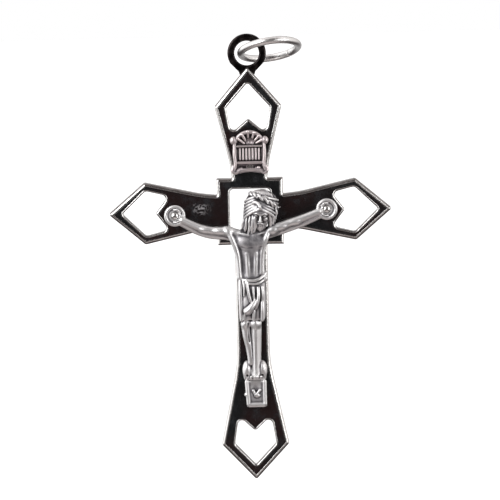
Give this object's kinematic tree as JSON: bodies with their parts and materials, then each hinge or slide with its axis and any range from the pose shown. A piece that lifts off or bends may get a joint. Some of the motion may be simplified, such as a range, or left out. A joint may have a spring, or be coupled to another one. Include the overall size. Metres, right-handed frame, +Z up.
{
  "type": "pendant crucifix",
  "caption": "Small pierced metal cross pendant with a black enamel face, a riveted cast figure, a title scroll, a foot rest, a hanging eye and a jump ring.",
  "frame": {"origin": "centre of the hanging eye's hole", "axes": "+Z up along the shaft when the pendant hangs, -Y out of the enamelled front, +X to the right seen from the front"},
  "size_m": [0.032, 0.0074, 0.0508],
  "materials": {
    "plated_silver": "polished",
    "oxidised_silver": "satin",
    "black_enamel": "gloss",
    "dark_plating": "satin",
    "ring_wire": "polished"
  },
  "bodies": {
    "crucifix": {"cross_frame": "plated_silver", "enamel_field": "black_enamel", "hanging_eye": "dark_plating", "corpus": "oxidised_silver", "hand_rivet_left": "plated_silver", "hand_rivet_right": "plated_silver", "foot_rivet": "plated_silver", "foot_rest": "oxidised_silver", "title_scroll": "oxidised_silver", "title_rivet": "plated_silver"},
    "jump_ring": {"jump_ring": "ring_wire"}
  },
  "joints": [
    {"name": "ring_swing", "type": "hinge", "parent": "crucifix", "child": "jump_ring", "pos_m": [0, 0, 0], "axis": [0, -1, 0], "range_deg": [-56, 220]}
  ]
}
